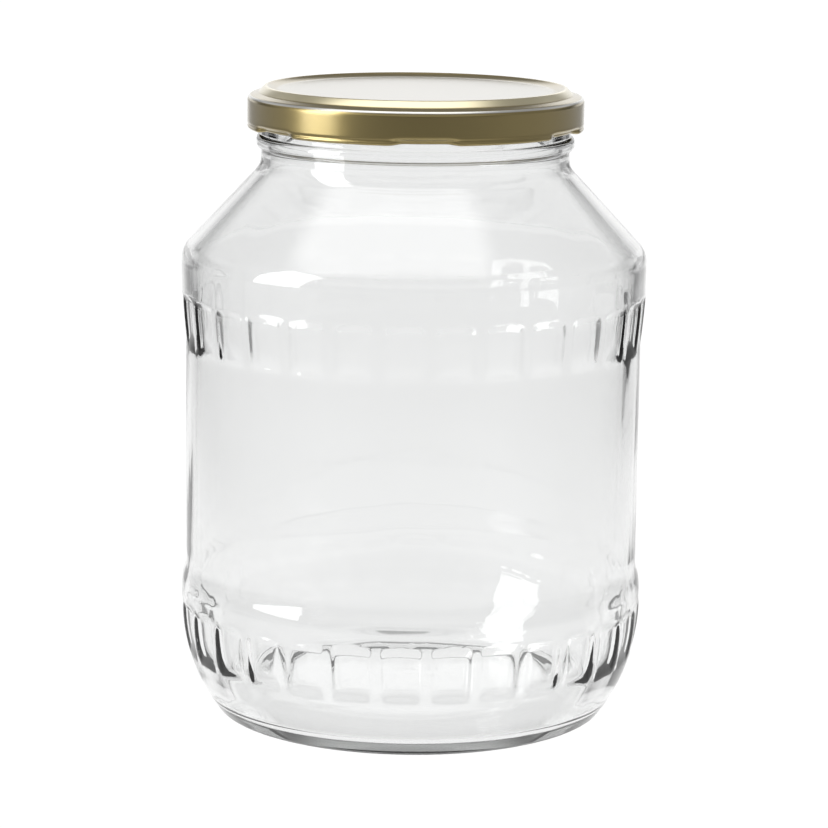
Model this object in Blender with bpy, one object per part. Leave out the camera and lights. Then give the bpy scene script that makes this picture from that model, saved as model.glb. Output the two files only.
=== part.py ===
"""A large preserving jar of clear pressed glass, closed by its gold twist-off cap.

Metres, +Z up. The origin is the centre of the jar's base, on the surface that it stands on.
Angles are in degrees about +Z, from the front (-Y) towards +X.
"""
import math

import bmesh
import bpy

# Jar: heights and radii of the outer wall
BODY_RADIUS = 0.0773
BEARING_INNER_RADIUS = 0.0605
BEARING_OUTER_RADIUS = 0.0660
BEARING_ROUND = 0.003
HEEL_ARC_RADIUS = 0.0625
LOWER_BULGE_RADIUS = 0.0789
LOWER_BULGE_START = 0.038
LOWER_BULGE_END = 0.0435
WAIST_START = 0.053
UPPER_BULGE_RADIUS = 0.0788
UPPER_BULGE_START = 0.128
UPPER_BULGE_FULL = 0.150
SHOULDER_TOP = 0.1589
SHOULDER_ROUND = 0.009
NECK_RADIUS = 0.0520
NECK_BASE = 0.1874
NECK_ROUND = 0.0065
BEAD_RADIUS = 0.0021
BEAD_HEIGHT = 0.1955
FINISH_TOP_RADIUS = 0.0518
FINISH_TAPER_START = 0.2090
RIM_ROUND = 0.0014
RIM_HEIGHT = 0.2130
HEEL_RING_HEIGHTS = (0.006, 0.012, 0.018)
WAIST_RING_HEIGHTS = (0.046, 0.049)
BODY_TOP = 0.124

# Jar: inner wall
FLOOR_HEIGHT = 0.0098
FLOOR_EDGE_RADIUS = 0.048
FLOOR_EDGE_HEIGHT = 0.0086
INNER_HEEL_HEIGHT = 0.0060
INNER_HEEL_ROUND = 0.023
WALL = 0.0032
BULGE_WALL = 0.0034
CONE_WALL = 0.0044
INNER_BODY_TOP = 0.126
INNER_BULGE_START = 0.140
INNER_WAIST_END = 0.0425
PUNT_HEIGHT = 0.0046
PUNT_EDGE_RADIUS = 0.045
PUNT_EDGE_HEIGHT = 0.0038

# Panels: flat facets between narrow upright ribs, in two bands
PANELS = 30
PANEL_PITCH = 360.0 / PANELS
FIRST_RIB = 4.0
RIB_HALF_WIDTH = 1.1
RIB_FLANK = 0.8
ARCH_STEP = 0.0015
LOWER_BAND = {"bottom": 0.0205, "spring": 0.0368, "crest": 0.0420}
UPPER_BAND = {"bottom": 0.1280, "spring": 0.1420, "crest": 0.1460}

# Cap
CAP_RADIUS = 0.0566
CAP_METAL = 0.0004
CAP_HEM_HEIGHT = 0.1998
CAP_HEM_ROUND = 0.0008
CAP_SHOULDER_HEIGHT = 0.2118
CAP_SHOULDER_ROUND = 0.0018
CAP_LEDGE_RADIUS = 0.0529
CAP_LEDGE_HEIGHT = 0.2121
CAP_CREST_RADIUS = 0.0504
CAP_CREST_ROUND = 0.0016
CAP_HEIGHT = 0.2140
CAP_FLANK_RADIUS = 0.0473
CAP_FLANK_HEIGHT = 0.2128
CAP_PANEL_RADIUS = 0.0457
CAP_PANEL_HEIGHT = 0.21265
LUGS = 6
FIRST_LUG = 3.2
LUG_HALF_WIDTH = 12.5
LUG_FLAT_HALF_WIDTH = 7.0
LUG_DEPTH = 0.0018
LUG_LIFT = 0.0005
LUG_TOP = 0.2022

# Fineness of the facets
ARC_STEP = 24.0
PLAIN_COLUMNS = 2 * PANELS
CAP_COLUMNS = 60


def arc(centre, radius, start, end, steps):
    """Points (r, z) of a round stretch; 0 degrees points outwards and 90 up."""
    angles = [math.radians(start + (end - start) * i / steps) for i in range(steps + 1)]
    return [(centre[0] + radius * math.cos(a), centre[1] + radius * math.sin(a)) for a in angles]


def rounded(corners):
    """An outline (r, z) through corners (r, z, radius), each corner with its own round."""
    points = []
    for i, (r, z, radius) in enumerate(corners):
        if radius == 0.0:
            points.append((r, z))
            continue
        back = (corners[i - 1][0] - r, corners[i - 1][1] - z)
        ahead = (corners[i + 1][0] - r, corners[i + 1][1] - z)
        back_angle = math.atan2(back[1], back[0])
        turn = (math.atan2(ahead[1], ahead[0]) - back_angle + math.pi) % (2 * math.pi) - math.pi
        half = abs(turn) / 2
        middle = back_angle + turn / 2
        reach = radius / math.sin(half)
        centre = (r + reach * math.cos(middle), z + reach * math.sin(middle))
        sweep = math.copysign(math.pi - 2 * half, -turn)
        steps = max(2, round(math.degrees(abs(sweep)) / ARC_STEP))
        first = back_angle + math.copysign(math.pi / 2, -turn)
        points += arc(centre, radius, math.degrees(first), math.degrees(first + sweep), steps)
    return points


def ease(t):
    """A smooth step from 0 to 1."""
    t = min(max(t, 0.0), 1.0)
    return 0.5 - 0.5 * math.cos(math.pi * t)


def wall_radius(z):
    """The outer radius of the jar between its foot and its shoulder, on a rib."""
    if z < LOWER_BULGE_START:
        drop = LOWER_BULGE_START - z
        return LOWER_BULGE_RADIUS - HEEL_ARC_RADIUS + math.sqrt(HEEL_ARC_RADIUS ** 2 - drop ** 2)
    if z < UPPER_BULGE_START:
        swell = ease((WAIST_START - z) / (WAIST_START - LOWER_BULGE_END))
        return BODY_RADIUS + (LOWER_BULGE_RADIUS - BODY_RADIUS) * swell
    rise = min((z - UPPER_BULGE_START) / (UPPER_BULGE_FULL - UPPER_BULGE_START), 1.0)
    return BODY_RADIUS + (UPPER_BULGE_RADIUS - BODY_RADIUS) * math.sin(math.pi / 2 * rise)


def place(angle, radius, z):
    """The point at an angle from the front."""
    a = math.radians(angle)
    return (radius * math.sin(a), -radius * math.cos(a), z)


def ring(bm, angles, radius_and_height):
    """Vertices round the axis, each with its angle."""
    return [(a, bm.verts.new(place(a, *radius_and_height(a)))) for a in angles]


def stitch(bm, below, above):
    """Faces between two rings: quads where they match, else triangles in step with the angles."""
    if len(below) == len(above):
        for i in range(len(below)):
            j = (i + 1) % len(below)
            bm.faces.new((below[i][1], below[j][1], above[j][1], above[i][1]))
        return
    below = below + [(below[0][0] + 360.0, below[0][1])]
    above = above + [(above[0][0] + 360.0, above[0][1])]
    i = j = 0
    while i < len(below) - 1 or j < len(above) - 1:
        step_below = j == len(above) - 1 or (i < len(below) - 1 and below[i + 1][0] <= above[j + 1][0])
        if step_below:
            bm.faces.new((below[i][1], below[i + 1][1], above[j][1]))
            i += 1
        else:
            bm.faces.new((below[i][1], above[j + 1][1], above[j][1]))
            j += 1


def close_on_axis(bm, last_ring, z):
    """A fan from a ring to one vertex on the axis."""
    tip = bm.verts.new((0.0, 0.0, z))
    for i in range(len(last_ring)):
        bm.faces.new((last_ring[i][1], last_ring[(i + 1) % len(last_ring)][1], tip))


def plain_ring(bm, point):
    """A ring of the jar where it is round."""
    angles = [FIRST_RIB + i * 360.0 / PLAIN_COLUMNS for i in range(PLAIN_COLUMNS)]
    return ring(bm, angles, lambda a: point)


def panel_angles():
    """The columns of a panelled ring: the rib's two edges, its foot and the facet across to the next."""
    edge = RIB_HALF_WIDTH + RIB_FLANK
    facet = PANEL_PITCH - 2 * edge
    offsets = [-RIB_HALF_WIDTH, RIB_HALF_WIDTH] + [edge + facet * t for t in (0.0, 0.2, 0.5, 0.8, 1.0)]
    return [FIRST_RIB + k * PANEL_PITCH + offset for k in range(PANELS) for offset in offsets]


def across_facet(angle):
    """Where an angle lies across its facet: -1 and 1 at the edges, beyond that on the rib."""
    from_middle = (angle - FIRST_RIB) % PANEL_PITCH - PANEL_PITCH / 2
    return from_middle / (PANEL_PITCH / 2 - RIB_HALF_WIDTH - RIB_FLANK)


def facet_radius(band, across, z):
    """The radius of a facet's flat, flush with the wall at its foot and with the body at its arch."""
    half = math.radians(PANEL_PITCH / 2 - RIB_HALF_WIDTH - RIB_FLANK)
    height = min((z - band["bottom"]) / (band["spring"] - band["bottom"]), 1.0)
    foot = wall_radius(band["bottom"])
    edge_radius = foot + (BODY_RADIUS - foot) * height
    return edge_radius * math.cos(half) / math.cos(across * half)


def panel_rings(bm, band):
    """The rings of one band of panels, from its foot to above its arches."""
    bottom, spring, crest = band["bottom"], band["spring"], band["crest"]

    def on_wall(angle, z):
        return wall_radius(z), z

    def on_panel(angle, z):
        across = across_facet(angle)
        on_rib = abs(across) > 1.001
        return (wall_radius(z) if on_rib else facet_radius(band, across, z)), z

    def arch(angle, lift):
        across = min(abs(across_facet(angle)), 1.0)
        return spring + (crest - spring) * math.sqrt(1.0 - across ** 2) + lift

    angles = panel_angles()
    middle = (bottom + spring) / 2
    rings = [ring(bm, angles, lambda a: on_wall(a, bottom))]
    rings.append(ring(bm, angles, lambda a: on_panel(a, bottom + ARCH_STEP)))
    rings.append(ring(bm, angles, lambda a: on_panel(a, middle)))
    rings.append(ring(bm, angles, lambda a: on_panel(a, arch(a, 0.0))))
    rings.append(ring(bm, angles, lambda a: on_wall(a, arch(a, ARCH_STEP))))
    return rings


def jar_foot():
    """The outline from the underside's edge to just below the lower panels."""
    heel = [(wall_radius(z), z, 0.0) for z in HEEL_RING_HEIGHTS]
    punt_edge = (PUNT_EDGE_RADIUS, PUNT_EDGE_HEIGHT, 0.0)
    bearing = [(BEARING_INNER_RADIUS, 0.0, 0.0), (BEARING_OUTER_RADIUS, 0.0, BEARING_ROUND)]
    return rounded([punt_edge] + bearing + heel)


def jar_top():
    """The outline of the shoulder, neck, bead and rim, then down the inside to the floor."""
    inner_body = BODY_RADIUS - WALL
    inner_bulge = UPPER_BULGE_RADIUS - BULGE_WALL
    inner_lower = LOWER_BULGE_RADIUS - BULGE_WALL
    slope = (UPPER_BULGE_RADIUS - NECK_RADIUS) / (NECK_BASE - SHOULDER_TOP)
    rim_centre = (FINISH_TOP_RADIUS - RIM_ROUND, RIM_HEIGHT - RIM_ROUND)
    mouth = rim_centre[0] - RIM_ROUND
    inner_neck_base = NECK_BASE - (mouth - NECK_RADIUS + CONE_WALL) / slope
    inner_shoulder = NECK_BASE - (inner_bulge - NECK_RADIUS + CONE_WALL) / slope
    outside = rounded([(UPPER_BULGE_RADIUS, UPPER_BULGE_FULL, 0.0),
                       (UPPER_BULGE_RADIUS, SHOULDER_TOP, SHOULDER_ROUND),
                       (NECK_RADIUS, NECK_BASE, NECK_ROUND),
                       (NECK_RADIUS, BEAD_HEIGHT - BEAD_RADIUS, 0.0)])
    bead = arc((NECK_RADIUS, BEAD_HEIGHT), BEAD_RADIUS, -60.0, 90.0, 5)
    rim = arc(rim_centre, RIM_ROUND, 0.0, 180.0, 4)
    inside = rounded([(mouth, RIM_HEIGHT - RIM_ROUND, 0.0),
                      (mouth, inner_neck_base, NECK_ROUND + WALL),
                      (inner_bulge, inner_shoulder, SHOULDER_ROUND - BULGE_WALL),
                      (inner_bulge, INNER_BULGE_START, 0.0),
                      (inner_body, INNER_BODY_TOP, 0.0),
                      (inner_body, WAIST_START, 0.0),
                      (inner_lower, INNER_WAIST_END, 0.0),
                      (inner_lower, INNER_HEEL_HEIGHT, INNER_HEEL_ROUND),
                      (FLOOR_EDGE_RADIUS, FLOOR_EDGE_HEIGHT, 0.0),
                      (0.0, FLOOR_HEIGHT, 0.0)])
    return outside + bead + [(NECK_RADIUS, FINISH_TAPER_START)] + rim + inside[1:-1]


def finish_object(name, bm, material):
    """Turn the faces outwards, make the object and shade its rounds smooth."""
    bmesh.ops.recalc_face_normals(bm, faces=bm.faces)
    mesh = bpy.data.meshes.new(name)
    bm.to_mesh(mesh)
    bm.free()
    mesh.materials.append(material)
    mesh.shade_smooth()
    mesh.set_sharp_from_angle(angle=math.radians(30.0))
    thing = bpy.data.objects.new(name, mesh)
    bpy.context.collection.objects.link(thing)
    return thing


def principled(name, colour, roughness, metallic, transmission=0.0, ior=1.5):
    """A material with one colour all over."""
    material = bpy.data.materials.new(name)
    material.use_nodes = True
    shader = material.node_tree.nodes["Principled BSDF"]
    shader.inputs["Base Color"].default_value = (*colour, 1.0)
    shader.inputs["Roughness"].default_value = roughness
    shader.inputs["Metallic"].default_value = metallic
    shader.inputs["Transmission Weight"].default_value = transmission
    shader.inputs["IOR"].default_value = ior
    return material


def make_jar():
    """The glass: one hollow solid with an open mouth, its wall panelled in two bands."""
    bm = bmesh.new()
    rings = [plain_ring(bm, point) for point in jar_foot()]
    rings += panel_rings(bm, LOWER_BAND)
    for z in (*WAIST_RING_HEIGHTS, WAIST_START, BODY_TOP):
        rings.append(plain_ring(bm, (wall_radius(z), z)))
    rings += panel_rings(bm, UPPER_BAND)
    rings += [plain_ring(bm, point) for point in jar_top()]
    for below, above in zip(rings, rings[1:]):
        stitch(bm, below, above)
    close_on_axis(bm, rings[0], PUNT_HEIGHT)
    close_on_axis(bm, rings[-1], FLOOR_HEIGHT)
    glass = principled("clear_glass", (0.94, 0.96, 0.95), 0.02, 0.0, transmission=1.0, ior=1.52)
    return finish_object("jar", bm, glass)


def offset_outline(points, distance):
    """The outline moved to its right-hand side by a distance."""
    moved = []
    for i, (r, z) in enumerate(points):
        before = points[max(i - 1, 0)]
        after = points[min(i + 1, len(points) - 1)]
        length = math.hypot(after[0] - before[0], after[1] - before[1])
        normal = ((after[1] - before[1]) / length, -(after[0] - before[0]) / length)
        moved.append((r + normal[0] * distance, z + normal[1] * distance))
    return moved


def cap_outline():
    """The cap's section: over the top and down the skirt, round the hem and back inside."""
    panel_edge = [(CAP_PANEL_RADIUS, CAP_PANEL_HEIGHT), (CAP_FLANK_RADIUS, CAP_FLANK_HEIGHT)]
    crest = arc((CAP_CREST_RADIUS, CAP_HEIGHT - CAP_CREST_ROUND), CAP_CREST_ROUND, 130.0, 15.0, 4)
    ledge = [(CAP_LEDGE_RADIUS, CAP_LEDGE_HEIGHT)]
    round_centre = (CAP_RADIUS - CAP_SHOULDER_ROUND, CAP_SHOULDER_HEIGHT - CAP_SHOULDER_ROUND)
    shoulder = arc(round_centre, CAP_SHOULDER_ROUND, 80.0, 0.0, 3)
    top = [(0.0, CAP_PANEL_HEIGHT)] + panel_edge + crest + ledge + shoulder
    skirt = [(CAP_RADIUS, LUG_TOP)]
    hem_centre = (CAP_RADIUS - CAP_HEM_ROUND, CAP_HEM_HEIGHT + CAP_HEM_ROUND)
    hem = arc(hem_centre, CAP_HEM_ROUND, 0.0, -180.0, 3)
    hem.append((CAP_RADIUS - CAP_METAL, hem_centre[1] + CAP_HEM_ROUND))
    inside_skirt = [(CAP_RADIUS - CAP_METAL, LUG_TOP)]
    underside = offset_outline(top, CAP_METAL)[:-1]
    underside.append((CAP_RADIUS - CAP_METAL, round_centre[1]))
    return top + skirt + hem + inside_skirt + underside[::-1]


def lug_press(angle):
    """How far the hem is pressed in at an angle: 0 between the lugs, 1 on a lug."""
    pitch = 360.0 / LUGS
    off = abs((angle - FIRST_LUG + pitch / 2) % pitch - pitch / 2)
    return ease((LUG_HALF_WIDTH - off) / (LUG_HALF_WIDTH - LUG_FLAT_HALF_WIDTH))


def make_cap():
    """The tinplate cap: a thin shell whose rolled hem is pressed in at the lugs."""
    bm = bmesh.new()
    outline = cap_outline()

    def pressed(point, angle):
        r, z = point
        below = min(max((LUG_TOP - z) / (LUG_TOP - CAP_HEM_HEIGHT), 0.0), 1.0)
        press = lug_press(angle) * below
        return r - LUG_DEPTH * press, z + LUG_LIFT * press

    first = FIRST_LUG + 180.0 / CAP_COLUMNS
    angles = [first + i * 360.0 / CAP_COLUMNS for i in range(CAP_COLUMNS)]
    rings = [ring(bm, angles, lambda a, p=p: pressed(p, a)) for p in outline[1:-1]]
    for below, above in zip(rings, rings[1:]):
        stitch(bm, below, above)
    close_on_axis(bm, rings[0], outline[0][1])
    close_on_axis(bm, rings[-1], outline[-1][1])
    lacquer = principled("gold_lacquer", (0.56, 0.44, 0.20), 0.28, 1.0)
    return finish_object("lid", bm, lacquer)


def main():
    for old in list(bpy.data.objects):
        bpy.data.objects.remove(old)
    make_jar()
    make_cap()


main()
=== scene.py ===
import math

import bpy
import numpy as np
from mathutils import Euler, Matrix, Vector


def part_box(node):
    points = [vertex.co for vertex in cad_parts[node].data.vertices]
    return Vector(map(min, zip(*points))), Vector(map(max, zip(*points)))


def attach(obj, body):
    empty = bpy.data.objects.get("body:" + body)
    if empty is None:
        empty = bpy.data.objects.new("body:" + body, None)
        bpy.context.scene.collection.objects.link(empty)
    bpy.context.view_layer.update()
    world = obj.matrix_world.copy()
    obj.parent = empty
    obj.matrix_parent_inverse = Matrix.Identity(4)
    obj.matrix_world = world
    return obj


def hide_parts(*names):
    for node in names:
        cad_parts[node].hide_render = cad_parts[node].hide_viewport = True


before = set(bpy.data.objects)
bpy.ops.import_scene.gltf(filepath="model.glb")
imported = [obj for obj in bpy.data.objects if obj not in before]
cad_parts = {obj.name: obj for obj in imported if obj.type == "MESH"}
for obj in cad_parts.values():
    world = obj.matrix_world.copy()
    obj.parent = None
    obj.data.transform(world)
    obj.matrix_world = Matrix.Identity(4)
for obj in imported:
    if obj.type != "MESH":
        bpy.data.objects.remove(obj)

bl_info = {
    "name": "Preserving Jar",
    "version": (1, 0, 0),
    "blender": (4, 5, 0),
    "location": "3D View > Sidebar > Jar",
    "description": "Builds a panelled glass preserving jar with a gold twist-off cap in a pale studio",
    "category": "Add Mesh",
}

JAR_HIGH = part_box("jar")[1]
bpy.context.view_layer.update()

# Outer wall of the jar, metres
BODY_RADIUS = 0.0773
BEARING_INNER_RADIUS = 0.0605
BEARING_INNER_ROUND = 0.0012
BEARING_OUTER_RADIUS = 0.0660
BEARING_OUTER_ROUND = 0.003
HEEL_START = 0.0045
HEEL_ARC_RADIUS = 0.0625
LOWER_BULGE_RADIUS = 0.0789
LOWER_BULGE_START = 0.038
LOWER_BULGE_END = 0.0435
WAIST_START = 0.053
UPPER_BULGE_RADIUS = 0.0788
UPPER_BULGE_START = 0.128
UPPER_BULGE_FULL = 0.150
SHOULDER_TOP = 0.1589
SHOULDER_ROUND = 0.009
NECK_RADIUS = 0.0520
NECK_BASE = 0.1874
NECK_ROUND = 0.0065
SHOULDER_SLOPE = (UPPER_BULGE_RADIUS - NECK_RADIUS) / (NECK_BASE - SHOULDER_TOP)
FINISH_TOP_RADIUS = 0.0518
FINISH_TAPER_START = 0.2090
RIM_HEIGHT = JAR_HIGH[2]
RIM_ROUND = 0.0014
RIM_CENTRE = (FINISH_TOP_RADIUS - RIM_ROUND, RIM_HEIGHT - RIM_ROUND)
MOUTH_RADIUS = RIM_CENTRE[0] - RIM_ROUND

# Bead under the cap: a flattened oval
BEAD_HEIGHT = 0.1955
BEAD_HALF_HEIGHT = 0.0021
BEAD_DEPTH = 0.0016
BEAD_POWER = 2 / 3
BEAD_SWEEP = 84.0
BEAD_POINTS = 19
BEAD_FILLET = 0.0004

# Underside, with its rings close enough for smooth shading
PUNT_HEIGHT = 0.0046
PUNT_EDGE_RADIUS = 0.047
PUNT_EDGE_HEIGHT = 0.0036
PUNT_EDGE_ROUND = 0.025
PUNT_RINGS = (0.004, 0.014, 0.024, 0.034, 0.040)

# Inner wall and floor
BODY_WALL = 0.0032
BULGE_WALL = 0.0034
CONE_WALL = 0.0044
INNER_BULGE_START = 0.140
INNER_BULGE_ROUND = 0.012
INNER_BODY_TOP = 0.126
INNER_BODY_ROUND = 0.05
INNER_WAIST_TOP = 0.057
INNER_WAIST_BOTTOM = 0.036
INNER_HEEL_TOP = 0.032
INNER_HEEL_BOTTOM = 0.008
HEEL_WALL = 0.0036
HEEL_THICKENING = 0.0012
INNER_CORNER_RADIUS = 0.0650
INNER_CORNER_HEIGHT = 0.0044
INNER_CORNER_ROUND = 0.0045
FLOOR_EDGE_RADIUS = 0.0535
FLOOR_EDGE_HEIGHT = 0.0074
FLOOR_EDGE_ROUND = 0.03
FLOOR_HEIGHT = 0.0086
FLOOR_INNER_RING = 0.004

# Unevenness of the inner wall: waves round the jar, which fade out at the floor and the neck
WAVE_TURNS = (2, 3, 5, 7, 11, 17, 27)
WAVE_TILT = 110.0
WAVE_SEED = 4
CALM_RADIUS = 0.03
CALM_HEIGHT = 0.19
CALM_FADE = 0.03

# Panels between upright ribs, degrees across and metres up
PANELS = 30
PANEL_PITCH = 360.0 / PANELS
FIRST_RIB = 4.0
PANEL_HALF = 4.5
FACET_HALF = 4.1
LOWER_BAND = {"bottom": 0.0205, "spring": 0.0358, "crest": 0.0433, "foot": 0.0045}
UPPER_BAND = {"bottom": 0.1265, "spring": 0.1416, "crest": 0.1455, "foot": 0.0065}
ARCH_HALF = PANEL_HALF + 0.3
ARCH_RISE = 0.0013
ARCH_SLOPE = 0.0022
FOOT_START = 0.0005

# Depth of the panels at the back as a share of the front's, and how gently one turns into the other
BACK_SHARE = 0.25
FRONT_REACH = 0.25

# Columns of vertices, degrees from the middle of a rib to the middle of a panel
COLUMN_OFFSETS = (0.0, 0.9, 1.3, 1.7, 2.2, 3.2, 4.6, 6.0)

# Rows of vertices: gaps beside the bands, reaches inside and round them, and the longest plain stretches
HEEL_GAP = 0.0012
WAIST_GAP = 0.0022
BODY_GAP = 0.0020
SHOULDER_GAP = 0.0024
SHOULDER_ROWS_TOP = 0.1545
BAND_MARGIN = 0.0006
BAND_FOOT_REACH = 0.0026
BAND_CREST_REACH = 0.0012
BAND_BELOW = 0.001
BAND_ABOVE = 0.002
CONE_STRETCH = 0.006
INNER_STRETCH = 0.008

# Cap
CAP_RADIUS = 0.0566
CAP_THICKNESS = 0.0003
CAP_HEM_HEIGHT = 0.1998
CAP_HEM_ROUND = 0.0008
CAP_SKIRT_TOP = 0.2085
CAP_SKIRT_GAP = 0.0004
CAP_SHOULDER_HEIGHT = 0.2112
CAP_SHOULDER_ROUND = 0.0020
CAP_LEDGE_RADIUS = 0.0530
CAP_LEDGE_HEIGHT = 0.2117
CAP_LEDGE_ROUND = 0.0008
CAP_CREST_RADIUS = 0.0502
CAP_CREST_ROUND = 0.0013
CAP_HEIGHT = 0.21396
CAP_FLANK_RADIUS = 0.0473
CAP_FLANK_HEIGHT = 0.2128
CAP_PANEL_RADIUS = 0.0457
CAP_PANEL_HEIGHT = 0.21265
CAP_PANEL_ROUND = 0.0006
CAP_PANEL_FLAT = CAP_PANEL_RADIUS - 0.0012
CAP_PANEL_RINGS = (0.004, 0.015, 0.03, 0.04, 0.043, CAP_PANEL_FLAT)
CAP_COLUMNS = 360
CAP_TUCKED_POINTS = 6
LUGS = 6
FIRST_LUG = 3.2
LUG_HALF_WIDTH = 12.5
LUG_FLAT_HALF_WIDTH = 7.0
LUG_DEPTH = 0.0018
LUG_LIFT = 0.0005
LUG_TOP = 0.2022

# Colours on the cap beside its gold: its lining, a painted reflection on the top panel and a painted
# highlight on the crest's outer slope; where the lining lies, and the soft edge of both
CAP_LINING = (0.75, 0.74, 0.70)
# Painted reflection: a neutral grey blended over the gold of the top panel, standing in for the white
# backdrop that the panel reflects
CAP_PAINTED_REFLECTION = (0.58, 0.58, 0.56)
CAP_PAINTED_REFLECTION_SHARE = 0.6
# Painted highlight: a pale cream blended over the gold from the crest out to the ledge, standing in for
# the top light's highlight there
CAP_PAINTED_HIGHLIGHT = (0.88, 0.80, 0.55)
CAP_PAINTED_HIGHLIGHT_SHARE = 0.8
CAP_PAINTED_HIGHLIGHT_FADE = 0.0005
LINING_FOOT = 0.2032
LINING_TOP = 0.2110
LINING_RADIUS = 0.0452
TONE_EDGE = 0.0002

# Glass
GLASS_IOR = 1.52
GLASS_FADE = (0.5, 0.508, 0.503)
RIPPLE_SCALE = 28.0

# Camera, from the photograph's perspective, and how often light turns in the glass
CAMERA_DISTANCE = 1.1189
CAMERA_HEIGHT = 0.3202
CAMERA_PITCH = 0.1929
CAMERA_ROLL = 0.0115
CAMERA_YAW = 0.0005
CAMERA_LENS = 144.8
LIGHT_BOUNCES = 24

# Softbox at the left
SOFTBOX_AWAY = 0.78
SOFTBOX_BACK = -0.352
SOFTBOX_WIDTH = 0.43
SOFTBOX_FOOT = 0.13
SOFTBOX_HEIGHT = 0.90

# Floor: a glowing strip of painted light that widens to the back, and floor of dimmer painted glow beside
# it
FLOOR_RADIUS = 12.0
STRIP_START = -0.1
STRIP_HALF = 0.17
STRIP_SPREAD = 0.135
STRIP_FADE = 0.15
STRIP_FRONT = (-0.55, -0.12)
BESIDE_REACH = (0.5, 2.4)
BESIDE_GAIN = 0.2

# Studio light by direction: edges of its zones in degrees away from straight behind, or in height
# (0 at the horizon, 1 overhead), and the brightness of each
BEHIND_WIDTH, BEHIND_TOP = (44.0, 36.0), (0.22, 0.12)
UPPER_WIDTH, UPPER_FOOT, UPPER_TOP = (32.0, 14.0), (0.12, 0.24), (0.55, 0.35)
FLANK_OUTER, FLANK_INNER, FLANK_FOOT, FLANK_TOP = (80.0, 55.0), (24.0, 40.0), (0.26, 0.36), (0.80, 0.60)
SIDE_BACK, SIDE_FRONT = (56.0, 74.0), (128.0, 112.0)
FRONT_WIDTH, FRONT_FOOT = (105.0, 140.0), (0.10, 0.30)
OVERHEAD_FOOT = (0.4, 0.7)
DARK_LIGHT = 0.14
BEHIND_LIGHT = 1.3
UPPER_LIGHT = 1.7
FLANK_LIGHT = 0.8
SIDE_LIGHT = 0.42
FRONT_LIGHT = 0.9
OVERHEAD_LIGHT = 0.4

# Bright patch overhead: its shift and its edges as slopes from straight up, and its foot in height
PATCH_SHIFT = 0.13
PATCH_WIDTH = (0.68, 0.46)
PATCH_LENGTH = (0.40, 0.24)
PATCH_FOOT = (0.5, 0.6)


def arc(centre, radius, start, end, steps):
    """Points (r, z) of a round stretch; 0 degrees points outwards and 90 up."""
    angles = np.radians(np.linspace(start, end, steps + 1))
    return [(centre[0] + radius * math.cos(a), centre[1] + radius * math.sin(a)) for a in angles]


def rounded(corners, degrees_a_step=9.0):
    """An outline (r, z) through corners (r, z, radius), each corner with its own round."""
    points = []
    for i, (r, z, radius) in enumerate(corners):
        if radius == 0.0:
            points.append((r, z))
            continue
        back = (corners[i - 1][0] - r, corners[i - 1][1] - z)
        ahead = (corners[i + 1][0] - r, corners[i + 1][1] - z)
        back_angle = math.atan2(back[1], back[0])
        turn = (math.atan2(ahead[1], ahead[0]) - back_angle + math.pi) % (2 * math.pi) - math.pi
        half = abs(turn) / 2
        middle = back_angle + turn / 2
        reach = radius / math.sin(half)
        centre = (r + reach * math.cos(middle), z + reach * math.sin(middle))
        sweep = math.copysign(math.pi - 2 * half, -turn)
        steps = max(3, round(math.degrees(abs(sweep)) / degrees_a_step))
        first = back_angle + math.copysign(math.pi / 2, -turn)
        points += arc(centre, radius, math.degrees(first), math.degrees(first + sweep), steps)
    return points


def filled_in(points, longest):
    """The outline with extra points on stretches longer than a length."""
    out = [points[0]]
    for a, b in zip(points, points[1:]):
        steps = max(1, math.ceil(math.hypot(b[0] - a[0], b[1] - a[1]) / longest))
        for i in range(1, steps + 1):
            out.append((a[0] + (b[0] - a[0]) * i / steps, a[1] + (b[1] - a[1]) * i / steps))
    return out


def ease(t):
    """A smooth step from 0 to 1."""
    return 0.5 - 0.5 * np.cos(np.pi * np.clip(t, 0.0, 1.0))


def wall_radius(z):
    """The outer radius of the jar between its foot and its shoulder, on a rib."""
    z = np.asarray(z, float)
    drop = np.clip(LOWER_BULGE_START - z, 0.0, HEEL_ARC_RADIUS)
    heel = LOWER_BULGE_RADIUS - HEEL_ARC_RADIUS + np.sqrt(HEEL_ARC_RADIUS ** 2 - drop ** 2)
    swell = ease((WAIST_START - z) / (WAIST_START - LOWER_BULGE_END))
    lower = BODY_RADIUS + (LOWER_BULGE_RADIUS - BODY_RADIUS) * swell
    rise = np.clip((z - UPPER_BULGE_START) / (UPPER_BULGE_FULL - UPPER_BULGE_START), 0.0, 1.0)
    upper = BODY_RADIUS + (UPPER_BULGE_RADIUS - BODY_RADIUS) * np.sin(np.pi / 2 * rise)
    return np.where(z < LOWER_BULGE_START, heel, np.where(z < UPPER_BULGE_START, lower, upper))


def panel_mask(angle, z, band, softness):
    """1 inside the arched panels of a band and 0 outside: crisp at the ribs, sloping under the arches."""
    across = np.abs((angle - FIRST_RIB) % PANEL_PITCH - PANEL_PITCH / 2)
    side = ease(0.5 + 0.5 * (PANEL_HALF - across) * math.radians(1.0) * BODY_RADIUS / softness)
    top = band["spring"] + ARCH_RISE * np.sqrt(np.clip(1.0 - (across / ARCH_HALF) ** 2, 0.0, 1.0))
    arch = np.clip((top + ARCH_SLOPE - z) / ARCH_SLOPE, 0.0, 1.0)
    foot = ease((z - band["bottom"] + FOOT_START) / band["foot"])
    return side * arch * foot


def facet_radius(angle, z):
    """The radius of a panel's flat face."""
    across = np.abs((angle - FIRST_RIB) % PANEL_PITCH - PANEL_PITCH / 2)
    turn = np.radians(np.minimum(across, FACET_HALF))
    return wall_radius(z) * math.cos(math.radians(FACET_HALF)) / np.cos(turn)


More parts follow.
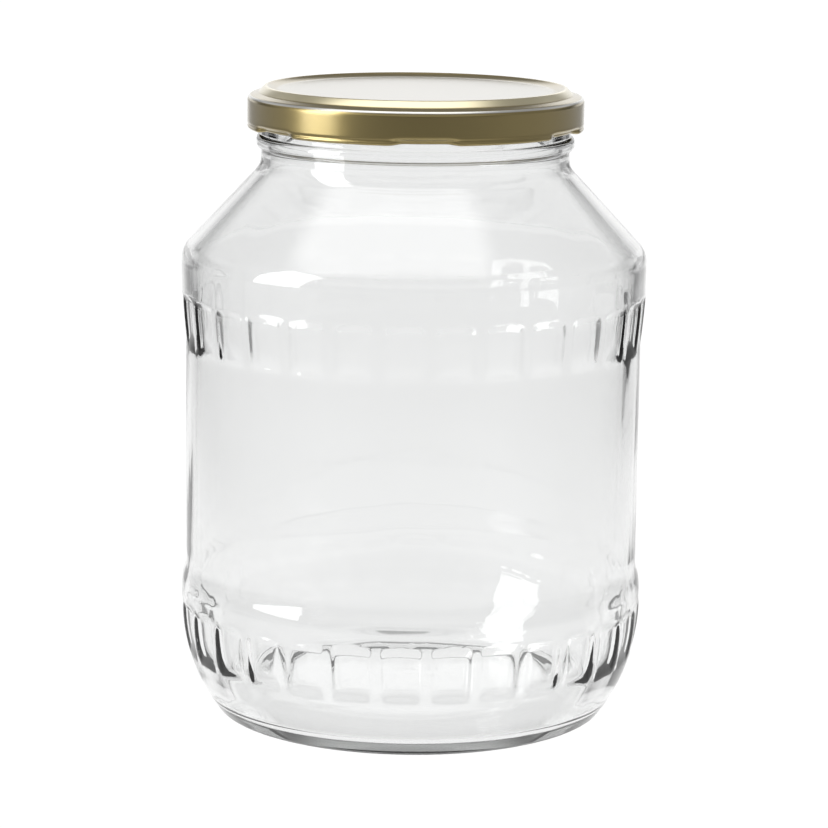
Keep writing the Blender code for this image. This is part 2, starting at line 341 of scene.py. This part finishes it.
def wave(angle, z):
    """A slow unevenness over angle and height, about -1 to 1."""
    rng = np.random.default_rng(WAVE_SEED)
    total = np.zeros(np.broadcast(angle, z).shape)
    for turns in WAVE_TURNS:
        tilt = rng.uniform(-WAVE_TILT, WAVE_TILT)
        phase, weight = rng.uniform(0.0, 2 * np.pi), rng.uniform(0.5, 1.0)
        total += weight * np.sin(np.radians(angle) * turns + tilt * z + phase) / math.sqrt(turns)
    return total / 2.0


def revolved(name, angles, radii, heights, tips):
    """A closed mesh from rows of vertices round the axis, closed by a vertex on the axis at each end."""
    rows, columns = radii.shape
    turn = np.radians(angles)[None, :]
    heights = np.broadcast_to(heights, radii.shape)
    points = np.stack([radii * np.sin(turn), -radii * np.cos(turn), heights], axis=-1)
    points = np.concatenate([points.reshape(-1, 3), [[0.0, 0.0, tips[0]], [0.0, 0.0, tips[1]]]])
    row, column = np.meshgrid(np.arange(rows - 1), np.arange(columns), indexing="ij")
    here = (row * columns + column).ravel()
    beside = (row * columns + (column + 1) % columns).ravel()
    quads = np.stack([here, beside, beside + columns, here + columns], axis=-1)
    start, end = rows * columns, rows * columns + 1
    ring = np.arange(columns)
    after = (ring + 1) % columns
    last = (rows - 1) * columns
    fans = [(int(b), int(a), start) for a, b in zip(ring, after)]
    fans += [(int(a) + last, int(b) + last, end) for a, b in zip(ring, after)]
    mesh = bpy.data.meshes.new(name)
    mesh.from_pydata(points.tolist(), [], quads.tolist() + fans)
    mesh.validate()
    mesh.shade_smooth()
    thing = bpy.data.objects.new(name, mesh)
    bpy.context.scene.collection.objects.link(thing)
    return thing


def band_rows(band):
    """Heights through one band of panels, close together at its foot and its arches."""
    foot_top = band["bottom"] + BAND_FOOT_REACH
    arch_start = band["spring"] - BAND_MARGIN
    foot = np.linspace(band["bottom"] - BAND_MARGIN, foot_top, 6)
    middle = np.linspace(foot_top, arch_start, 7)[1:]
    arches = np.linspace(arch_start, band["crest"] + BAND_CREST_REACH, 13)[1:]
    return np.concatenate([foot, middle, arches])


def underside_outline():
    """The section from near the axis underneath, round the bearing ring and up the heel."""
    rise = (PUNT_HEIGHT - PUNT_EDGE_HEIGHT) / PUNT_EDGE_RADIUS
    punt = [(r, PUNT_HEIGHT - rise * r) for r in PUNT_RINGS]
    heights = np.linspace(HEEL_START, LOWER_BAND["bottom"] - HEEL_GAP, 8)
    corners = [(*punt[-1], 0.0),
               (PUNT_EDGE_RADIUS, PUNT_EDGE_HEIGHT, PUNT_EDGE_ROUND),
               (BEARING_INNER_RADIUS, 0.0, BEARING_INNER_ROUND),
               (BEARING_OUTER_RADIUS, 0.0, BEARING_OUTER_ROUND),
               *((float(wall_radius(z)), z, 0.0) for z in heights)]
    return punt[:-1] + rounded(corners, 5.0)


def bead_outline():
    """The bead's section, with a small fillet below and above."""
    lip = 0.3 * BEAD_FILLET
    points = [(NECK_RADIUS + lip, BEAD_HEIGHT - BEAD_HALF_HEIGHT - lip)]
    for turn in np.radians(np.linspace(-BEAD_SWEEP, BEAD_SWEEP, BEAD_POINTS)):
        out = math.cos(turn) ** BEAD_POWER
        up = math.copysign(abs(math.sin(turn)) ** BEAD_POWER, turn)
        points.append((NECK_RADIUS + BEAD_DEPTH * out, BEAD_HEIGHT + BEAD_HALF_HEIGHT * up))
    points.append((NECK_RADIUS + lip, BEAD_HEIGHT + BEAD_HALF_HEIGHT + lip))
    points.append((NECK_RADIUS, BEAD_HEIGHT + BEAD_HALF_HEIGHT + BEAD_FILLET))
    return points


def outer_outline():
    """The jar's section from the underside up the wall and over the rim to the mouth."""
    waist = np.linspace(LOWER_BAND["crest"] + WAIST_GAP, WAIST_START, 8)
    body = np.linspace(WAIST_START, UPPER_BAND["bottom"] - BODY_GAP, 10)[1:]
    shoulder = np.linspace(UPPER_BAND["crest"] + SHOULDER_GAP, SHOULDER_ROWS_TOP, 4)
    heights = np.concatenate([band_rows(LOWER_BAND), waist, body, band_rows(UPPER_BAND), shoulder])
    wall = [(float(wall_radius(z)), float(z)) for z in heights]
    cone = rounded([(UPPER_BULGE_RADIUS, UPPER_BULGE_FULL, 0.0),
                    (UPPER_BULGE_RADIUS, SHOULDER_TOP, SHOULDER_ROUND),
                    (NECK_RADIUS, NECK_BASE, NECK_ROUND),
                    (NECK_RADIUS, BEAD_HEIGHT - BEAD_HALF_HEIGHT - BEAD_FILLET, 0.0)])[1:]
    finish = [(NECK_RADIUS, FINISH_TAPER_START)]
    rim = arc(RIM_CENTRE, RIM_ROUND, 0.0, 180.0, 6)
    return underside_outline() + wall + filled_in(cone, CONE_STRETCH) + bead_outline() + finish + rim


def inner_outline():
    """The jar's section inside, from the mouth down to near the axis on the floor."""
    bulge = UPPER_BULGE_RADIUS - BULGE_WALL
    neck_base = NECK_BASE - (MOUTH_RADIUS - NECK_RADIUS + CONE_WALL) / SHOULDER_SLOPE
    shoulder = NECK_BASE - (bulge - NECK_RADIUS + CONE_WALL) / SHOULDER_SLOPE
    waist = [(float(wall_radius(z)) - BULGE_WALL, z, 0.0)
             for z in np.linspace(INNER_WAIST_TOP, INNER_WAIST_BOTTOM, 12)]
    heel = []
    for z in np.linspace(INNER_HEEL_TOP, INNER_HEEL_BOTTOM, 9):
        lean = math.asin((LOWER_BULGE_START - z) / HEEL_ARC_RADIUS)
        share = (INNER_HEEL_TOP - z) / (INNER_HEEL_TOP - INNER_HEEL_BOTTOM)
        thick = HEEL_WALL + HEEL_THICKENING * share
        heel.append((float(wall_radius(z)) - thick * math.cos(lean), z + thick * math.sin(lean), 0.0))
    corners = [(MOUTH_RADIUS, RIM_CENTRE[1], 0.0),
               (MOUTH_RADIUS, neck_base, NECK_ROUND + BODY_WALL),
               (bulge, shoulder, SHOULDER_ROUND - BULGE_WALL),
               (bulge, INNER_BULGE_START, INNER_BULGE_ROUND),
               (BODY_RADIUS - BODY_WALL, INNER_BODY_TOP, INNER_BODY_ROUND),
               *waist,
               *heel,
               (INNER_CORNER_RADIUS, INNER_CORNER_HEIGHT, INNER_CORNER_ROUND),
               (FLOOR_EDGE_RADIUS, FLOOR_EDGE_HEIGHT, FLOOR_EDGE_ROUND),
               (FLOOR_INNER_RING, FLOOR_HEIGHT, 0.0)]
    return filled_in(rounded(corners, 7.0)[1:], INNER_STRETCH)


def make_glass(softness, recess, unevenness):
    """The jar's glass: panels outside, fainter at the back, and a slightly uneven wall inside."""
    outside, inside = np.array(outer_outline()), np.array(inner_outline())
    half = np.array(COLUMN_OFFSETS)
    offsets = np.concatenate([half, PANEL_PITCH - half[-2:0:-1]])
    angles = (FIRST_RIB + np.arange(PANELS)[:, None] * PANEL_PITCH + offsets[None, :]).ravel()
    section = np.concatenate([outside, inside])
    radii = section[:, 0:1] * np.ones((1, len(angles)))
    z = outside[:, 1:2]
    front = ease((np.cos(np.radians(angles)) + FRONT_REACH) / (2 * FRONT_REACH))[None, :]
    depth = recess * (BACK_SHARE + (1.0 - BACK_SHARE) * front)
    for band in (LOWER_BAND, UPPER_BAND):
        within = (z[:, 0] > band["bottom"] - BAND_BELOW) & (z[:, 0] < band["crest"] + BAND_ABOVE)
        rows = np.where(within)[0]
        mask = panel_mask(angles[None, :], z[rows], band, softness * (2.0 - front))
        flat = np.minimum(facet_radius(angles[None, :], z[rows]) - depth, radii[rows])
        radii[rows] += (flat - radii[rows]) * mask
    free = np.clip((inside[:, 0:1] - CALM_RADIUS) / CALM_FADE, 0.0, 1.0)
    free *= np.clip((CALM_HEIGHT - inside[:, 1:2]) / CALM_FADE, 0.0, 1.0)
    radii[len(outside):] += unevenness * free * wave(angles[None, :], inside[:, 1:2])
    return revolved("jar_glass", angles, radii, section[:, 1:2], (PUNT_HEIGHT, FLOOR_HEIGHT))


def cap_outline():
    """The cap's section: over the top and down the skirt, round the rolled hem and back inside."""
    panel = [(r, CAP_PANEL_HEIGHT) for r in CAP_PANEL_RINGS]
    flank = rounded([(CAP_PANEL_FLAT, CAP_PANEL_HEIGHT, 0.0),
                     (CAP_PANEL_RADIUS, CAP_PANEL_HEIGHT, CAP_PANEL_ROUND),
                     (CAP_FLANK_RADIUS, CAP_FLANK_HEIGHT, 0.0)], 1.5)[1:]
    crest = arc((CAP_CREST_RADIUS, CAP_HEIGHT - CAP_CREST_ROUND), CAP_CREST_ROUND, 130.0, 52.0, 10)
    ledge = rounded([(*crest[-1], 0.0),
                     (CAP_LEDGE_RADIUS, CAP_LEDGE_HEIGHT, CAP_LEDGE_ROUND),
                     (CAP_RADIUS - CAP_SHOULDER_ROUND, CAP_SHOULDER_HEIGHT, 0.0)], 4.0)[1:-1]
    centre = (CAP_RADIUS - CAP_SHOULDER_ROUND, CAP_SHOULDER_HEIGHT - CAP_SHOULDER_ROUND)
    shoulder = arc(centre, CAP_SHOULDER_ROUND, 74.0, 0.0, 11)
    skirt_foot = CAP_HEM_HEIGHT + 2 * CAP_HEM_ROUND + CAP_SKIRT_GAP
    skirt = [(CAP_RADIUS, z) for z in np.linspace(CAP_SKIRT_TOP, skirt_foot, 10)]
    curl = (CAP_RADIUS - CAP_HEM_ROUND, CAP_HEM_HEIGHT + CAP_HEM_ROUND)
    hem = arc(curl, CAP_HEM_ROUND, 50.0, -200.0, 16)
    return panel + flank + crest + ledge + shoulder + skirt + hem


def make_cap():
    """The cap as a thin closed shell with its hem pressed in at the lugs."""
    top = np.array(cap_outline())
    inner = top[:-CAP_TUCKED_POINTS].copy()
    step = np.gradient(inner, axis=0)
    normal = np.stack([step[:, 1], -step[:, 0]], axis=-1) / np.hypot(step[:, 0], step[:, 1])[:, None]
    inner += normal * CAP_THICKNESS
    inner = inner[inner[:, 1] > CAP_HEM_HEIGHT + 2 * CAP_HEM_ROUND][::-1]
    outline = np.concatenate([top, inner])
    angles = FIRST_LUG + np.arange(CAP_COLUMNS) * 360.0 / CAP_COLUMNS
    pitch = 360.0 / LUGS
    off = np.abs((angles - FIRST_LUG + pitch / 2) % pitch - pitch / 2)
    press = ease((LUG_HALF_WIDTH - off) / (LUG_HALF_WIDTH - LUG_FLAT_HALF_WIDTH))[None, :]
    below = ease((LUG_TOP - outline[:, 1:2]) / (LUG_TOP - CAP_HEM_HEIGHT - CAP_HEM_ROUND))
    radii = outline[:, 0:1] - LUG_DEPTH * press * below
    heights = outline[:, 1:2] + LUG_LIFT * press * below
    tips = (CAP_PANEL_HEIGHT, CAP_PANEL_HEIGHT - CAP_THICKNESS)
    return revolved("lid_cap", angles, radii, heights, tips)


class Socket:
    """An output of a shader node that takes part in Python expressions."""

    def __init__(self, tree, output=None):
        self.tree = tree
        self.output = output

    def node(self, kind, settings=None, values=None, out=0):
        """A new node: its settings first, then its inputs' values or links."""
        made = self.tree.nodes.new(kind)
        for key, value in (settings or {}).items():
            setattr(made, key, value)
        for key, value in (values or {}).items():
            if isinstance(value, Socket):
                self.tree.links.new(value.output, made.inputs[key])
            else:
                made.inputs[key].default_value = value
        return Socket(self.tree, made.outputs[out])

    def maths(self, operation, *terms):
        return self.node("ShaderNodeMath", {"operation": operation}, dict(enumerate(terms)))

    def __add__(self, other):
        return self.maths("ADD", self, other)

    __radd__ = __add__

    def __sub__(self, other):
        return self.maths("SUBTRACT", self, other)

    def __rsub__(self, other):
        return self.maths("SUBTRACT", other, self)

    def __mul__(self, other):
        return self.maths("MULTIPLY", self, other)

    __rmul__ = __mul__

    def __truediv__(self, other):
        return self.maths("DIVIDE", self, other)

    def step(self, low, high):
        """0 below low and 1 above high, smooth between; falls if low is the larger."""
        values = {"Value": self, "From Min": low, "From Max": high}
        return self.node("ShaderNodeMapRange", {"interpolation_type": "SMOOTHSTEP"}, values)

    def blend(self, first, second):
        """A colour from first to second by this value."""
        return self.node("ShaderNodeMix", {"data_type": "RGBA"}, {0: self, 6: first, 7: second}, 2)


def new_material(name):
    """An empty node material, its tree as a Socket and its output node."""
    material = bpy.data.materials.new(name)
    material.use_nodes = True
    tree = material.node_tree
    tree.nodes.clear()
    return material, Socket(tree), tree.nodes.new("ShaderNodeOutputMaterial")


def glass_material(tint, waviness, depth):
    """Clear glass with a faint unevenness, which lets lamps through to what lies behind it."""
    material, start, output = new_material("clear_glass")
    place = start.node("ShaderNodeTexCoord", out=3)
    ripple = start.node("ShaderNodeTexNoise", {}, {
        "Vector": place, "Scale": RIPPLE_SCALE, "Detail": 1.0, "Roughness": 0.4})
    bump = start.node("ShaderNodeBump", {}, {"Height": ripple, "Strength": waviness, "Distance": 0.001})
    shader = start.node("ShaderNodeBsdfPrincipled", {}, {
        "Base Color": (*tint, 1.0), "Roughness": 0.0, "IOR": GLASS_IOR, "Transmission Weight": 1.0,
        "Normal": bump})
    lamps = start.node("ShaderNodeLightPath", out=1)
    clear = start.node("ShaderNodeBsdfTransparent")
    both = start.node("ShaderNodeMixShader", {}, {0: lamps, 1: shader, 2: clear})
    start.tree.links.new(both.output, output.inputs["Surface"])
    inside = start.node("ShaderNodeVolumeAbsorption", {}, {"Color": (*GLASS_FADE, 1.0), "Density": depth})
    start.tree.links.new(inside.output, output.inputs["Volume"])
    return material


def gold_material(colour, roughness):
    """Gold lacquer over tinplate, a little uneven in colour, with a pale lining inside, a painted
    highlight on the crest's outer slope and a painted reflection on the top panel.
    """
    material, start, output = new_material("gold_lacquer")
    place = start.node("ShaderNodeTexCoord", out=3)
    cloud = start.node("ShaderNodeTexNoise", {}, {"Vector": place, "Scale": 60.0, "Detail": 1.0})
    darker = tuple(0.9 * c for c in colour)
    x, y, z = (start.node("ShaderNodeSeparateXYZ", {}, {"Vector": place}, i) for i in range(3))
    square = x * x + y * y
    radius = square.maths("SQRT", square)
    inside_skirt = (radius.step(CAP_RADIUS - TONE_EDGE, CAP_RADIUS - 2 * TONE_EDGE)
                    * z.step(LINING_FOOT, LINING_FOOT + TONE_EDGE)
                    * z.step(LINING_TOP, LINING_TOP - TONE_EDGE))
    under_panel = (radius.step(LINING_RADIUS, LINING_RADIUS - TONE_EDGE)
                   * z.step(CAP_PANEL_HEIGHT - TONE_EDGE / 2, CAP_PANEL_HEIGHT - TONE_EDGE))
    lining = inside_skirt.maths("MAXIMUM", inside_skirt, under_panel)
    outer = cloud.blend((*darker, 1.0), (*colour, 1.0))
    # Painted reflection: mask of the top panel, where a neutral grey stands in for the backdrop's
    # reflection
    face = radius.step(CAP_FLANK_RADIUS + TONE_EDGE, CAP_PANEL_RADIUS - TONE_EDGE)
    # Painted highlight: mask of the crest's outer slope, lightened to stand in for the top light's
    # highlight
    edge = (radius.step(CAP_CREST_RADIUS - CAP_PAINTED_HIGHLIGHT_FADE, CAP_CREST_RADIUS)
            * radius.step(CAP_LEDGE_RADIUS, CAP_LEDGE_RADIUS - 2 * TONE_EDGE))
    outer = (edge * CAP_PAINTED_HIGHLIGHT_SHARE).blend(outer, (*CAP_PAINTED_HIGHLIGHT, 1.0))
    outer = (face * CAP_PAINTED_REFLECTION_SHARE).blend(outer, (*CAP_PAINTED_REFLECTION, 1.0))
    shade = lining.blend(outer, (*CAP_LINING, 1.0))
    shader = start.node("ShaderNodeBsdfPrincipled", {}, {
        "Base Color": shade, "Roughness": roughness, "Metallic": 1.0, "Coat Weight": 1.0,
        "Coat Roughness": 0.2})
    start.tree.links.new(shader.output, output.inputs["Surface"])
    return material


def floor_material(near, far):
    """A pale floor that glows softly behind and round the jar and fades to the front and sides."""
    material, start, output = new_material("studio_floor")
    place = start.node("ShaderNodeTexCoord", out=3)
    x, y = (start.node("ShaderNodeSeparateXYZ", {}, {"Vector": place}, i) for i in range(2))
    aside = x.maths("ABSOLUTE", x)
    half = y.maths("MAXIMUM", y - STRIP_START, 0.0) * STRIP_SPREAD + STRIP_HALF
    past = (aside - half) / (half + STRIP_FADE)
    strip = past.step(1.0, 0.0) * y.step(*STRIP_FRONT)
    beside = far + aside.step(*BESIDE_REACH) * BESIDE_GAIN
    # Painted light: the floor's glow, full in the strip round the jar and dimmer beside it
    light = strip * (near - beside) + beside
    shader = start.node("ShaderNodeBsdfPrincipled", {}, {
        "Base Color": (0.05, 0.05, 0.05, 1.0), "Roughness": 0.7, "Emission Color": (1.0, 1.0, 1.0, 1.0),
        "Emission Strength": light, "Specular IOR Level": 0.1})
    start.tree.links.new(shader.output, output.inputs["Surface"])
    return material


def studio_world(top):
    """Light by direction: white behind, a bright patch overhead, dim at the front and sides."""
    world = bpy.data.worlds.new("studio")
    world.use_nodes = True
    tree = world.node_tree
    tree.nodes.clear()
    start = Socket(tree)
    way = start.node("ShaderNodeTexCoord", out=0)
    x, y, z = (start.node("ShaderNodeSeparateXYZ", {}, {"Vector": way}, i) for i in range(3))
    turn = x.maths("ARCTAN2", x, y) * (180.0 / math.pi)
    off = turn.maths("ABSOLUTE", turn)
    behind = off.step(*BEHIND_WIDTH) * z.step(*BEHIND_TOP)
    upper = off.step(*UPPER_WIDTH) * z.step(*UPPER_FOOT) * z.step(*UPPER_TOP)
    front = off.step(*FRONT_WIDTH) * z.step(*FRONT_FOOT)
    side = off.step(*SIDE_BACK) * off.step(*SIDE_FRONT)
    flank = off.step(*FLANK_OUTER) * off.step(*FLANK_INNER) * z.step(*FLANK_FOOT) * z.step(*FLANK_TOP)
    low = (behind * (BEHIND_LIGHT - DARK_LIGHT) + upper * (UPPER_LIGHT - DARK_LIGHT)
           + front * (FRONT_LIGHT - DARK_LIGHT) + side * (SIDE_LIGHT - DARK_LIGHT)
           + flank * (FLANK_LIGHT - DARK_LIGHT) + DARK_LIGHT)
    middle = low + (OVERHEAD_LIGHT - low) * z.step(*OVERHEAD_FOOT)
    across = x / z + PATCH_SHIFT
    along = y / z
    patch = (across.maths("ABSOLUTE", across).step(*PATCH_WIDTH)
             * along.maths("ABSOLUTE", along).step(*PATCH_LENGTH) * z.step(*PATCH_FOOT))
    light = middle + patch * (top - middle)
    surround = start.node("ShaderNodeBackground", {}, {"Strength": light})
    output = tree.nodes.new("ShaderNodeOutputWorld")
    tree.links.new(surround.output, output.inputs["Surface"])
    bpy.context.scene.world = world


def softbox(brightness):
    """A tall soft light at the jar's left, from the floor up."""
    light = bpy.data.lights.new("softbox", "AREA")
    light.shape = "RECTANGLE"
    light.size, light.size_y = SOFTBOX_WIDTH, SOFTBOX_HEIGHT
    light.energy = brightness * math.pi * SOFTBOX_WIDTH * SOFTBOX_HEIGHT
    lamp = bpy.data.objects.new("softbox", light)
    middle = (-SOFTBOX_AWAY, SOFTBOX_BACK, SOFTBOX_FOOT + SOFTBOX_HEIGHT / 2)
    turn = Euler((math.pi / 2, 0.0, -math.pi / 2)).to_matrix().to_4x4()
    lamp.matrix_world = Matrix.Translation(middle) @ turn
    lamp.visible_camera = False
    bpy.context.scene.collection.objects.link(lamp)


def finish_piece(thing, material, node):
    """Gives a piece its material and its place in the model, and hides the part that it stands for."""
    thing.data.materials.append(material)
    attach(thing, "root")
    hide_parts(node)


class JarGlassSettings(bpy.types.PropertyGroup):
    """Settings of the glass."""
    softness: bpy.props.FloatProperty(
        name="Edge softness", description="Half width of the soft edge round each panel at the front",
        default=0.0008, min=0.0001, max=0.003, unit="LENGTH", precision=5)
    recess: bpy.props.FloatProperty(
        name="Panel recess", description="How far the panels at the front are sunk into the wall",
        default=0.0007, min=0.0, max=0.001, unit="LENGTH", precision=5)
    unevenness: bpy.props.FloatProperty(
        name="Unevenness", description="Depth of the slow waves of the inner wall",
        default=0.0003, min=0.0, max=0.001, unit="LENGTH", precision=5)
    waviness: bpy.props.FloatProperty(
        name="Ripple", description="Strength of the fine ripple of the surface",
        default=0.05, min=0.0, max=1.0, subtype="FACTOR")
    depth: bpy.props.FloatProperty(
        name="Darkening", description="How fast light fades inside the glass, for each metre",
        default=19.0, min=0.0, max=200.0)
    tint: bpy.props.FloatVectorProperty(
        name="Tint", description="Colour of the glass",
        default=(0.957, 0.960, 0.959), min=0.0, max=1.0, size=3, subtype="COLOR")


class JarCapSettings(bpy.types.PropertyGroup):
    """Settings of the cap."""
    colour: bpy.props.FloatVectorProperty(
        name="Lacquer", description="Colour of the gold lacquer",
        default=(0.36, 0.28, 0.106), min=0.0, max=1.0, size=3, subtype="COLOR")
    roughness: bpy.props.FloatProperty(
        name="Roughness", description="Roughness of the lacquer",
        default=0.28, min=0.0, max=1.0, subtype="FACTOR")


class JarStageSettings(bpy.types.PropertyGroup):
    """Settings of the floor, the light and the camera."""
    near: bpy.props.FloatProperty(
        name="Floor light", description="Brightness of the floor round the jar",
        default=0.98, min=0.0, max=3.0)
    far: bpy.props.FloatProperty(
        name="Floor edge", description="Brightness of the floor to the front and sides",
        default=0.26, min=0.0, max=3.0)
    side: bpy.props.FloatProperty(
        name="Softbox light", description="Brightness of the softbox at the left",
        default=5.6, min=0.0, max=50.0)
    top: bpy.props.FloatProperty(
        name="Top light", description="Brightness of the light above the cap",
        default=2.3, min=0.0, max=50.0)
    lens: bpy.props.FloatProperty(
        name="Lens", description="Focal length of the camera",
        default=CAMERA_LENS, min=10.0, max=500.0, unit="CAMERA")


class JAR_OT_glass(bpy.types.Operator):
    """Build the jar of clear panelled glass"""
    bl_idname = "jar.glass"
    bl_label = "Build Glass Jar"

    def execute(self, context):
        s = context.scene.jar_glass_settings
        thing = make_glass(s.softness, s.recess, s.unevenness)
        finish_piece(thing, glass_material(tuple(s.tint), s.waviness, s.depth), "jar")
        return {"FINISHED"}


class JAR_OT_cap(bpy.types.Operator):
    """Build the gold cap with its lugs"""
    bl_idname = "jar.cap"
    bl_label = "Build Cap"

    def execute(self, context):
        s = context.scene.jar_cap_settings
        finish_piece(make_cap(), gold_material(tuple(s.colour), s.roughness), "lid")
        return {"FINISHED"}


class JAR_OT_stage(bpy.types.Operator):
    """Lay the floor, set the light and place the camera"""
    bl_idname = "jar.stage"
    bl_label = "Set Stage"

    def execute(self, context):
        s = context.scene.jar_stage_settings
        bpy.ops.mesh.primitive_circle_add(vertices=96, radius=FLOOR_RADIUS, fill_type="NGON")
        floor = context.object
        floor.name = "studio_floor"
        floor.data.materials.append(floor_material(s.near, s.far))
        studio_world(s.top)
        softbox(s.side)
        lens = bpy.data.cameras.new("camera")
        lens.lens = s.lens
        lens.clip_start = 0.01
        camera = bpy.data.objects.new("camera", lens)
        tilt = Euler((math.pi / 2 - CAMERA_PITCH, 0.0, -CAMERA_YAW)).to_matrix()
        turned = tilt @ Matrix.Rotation(CAMERA_ROLL, 3, "Z")
        camera.matrix_world = Matrix.Translation((0.0, -CAMERA_DISTANCE, CAMERA_HEIGHT)) @ turned.to_4x4()
        context.scene.collection.objects.link(camera)
        context.scene.camera = camera
        context.scene.view_settings.view_transform = "Standard"
        context.scene.cycles.max_bounces = LIGHT_BOUNCES
        context.scene.cycles.transmission_bounces = LIGHT_BOUNCES
        return {"FINISHED"}


class JAR_PT_panel(bpy.types.Panel):
    """The jar's panel in the sidebar"""
    bl_idname = "JAR_PT_panel"
    bl_label = "Preserving Jar"
    bl_space_type = "VIEW_3D"
    bl_region_type = "UI"
    bl_category = "Jar"

    def draw(self, context):
        for settings, operator in STEPS:
            box = self.layout.box()
            group = getattr(context.scene, settings)
            for key in group.__annotations__:
                box.prop(group, key)
            box.operator(operator.bl_idname)


STEPS = (
    ("jar_glass_settings", JAR_OT_glass),
    ("jar_cap_settings", JAR_OT_cap),
    ("jar_stage_settings", JAR_OT_stage),
)
GROUPS = (JarGlassSettings, JarCapSettings, JarStageSettings)


def register():
    for (settings, operator), group in zip(STEPS, GROUPS):
        bpy.utils.register_class(group)
        setattr(bpy.types.Scene, settings, bpy.props.PointerProperty(type=group))
        bpy.utils.register_class(operator)
    bpy.utils.register_class(JAR_PT_panel)


def unregister():
    bpy.utils.unregister_class(JAR_PT_panel)
    for (settings, operator), group in zip(STEPS, GROUPS):
        bpy.utils.unregister_class(operator)
        delattr(bpy.types.Scene, settings)
        bpy.utils.unregister_class(group)


def main():
    register()
    bpy.ops.jar.glass()
    bpy.ops.jar.cap()
    bpy.ops.jar.stage()


if __name__ == "__main__":
    main()
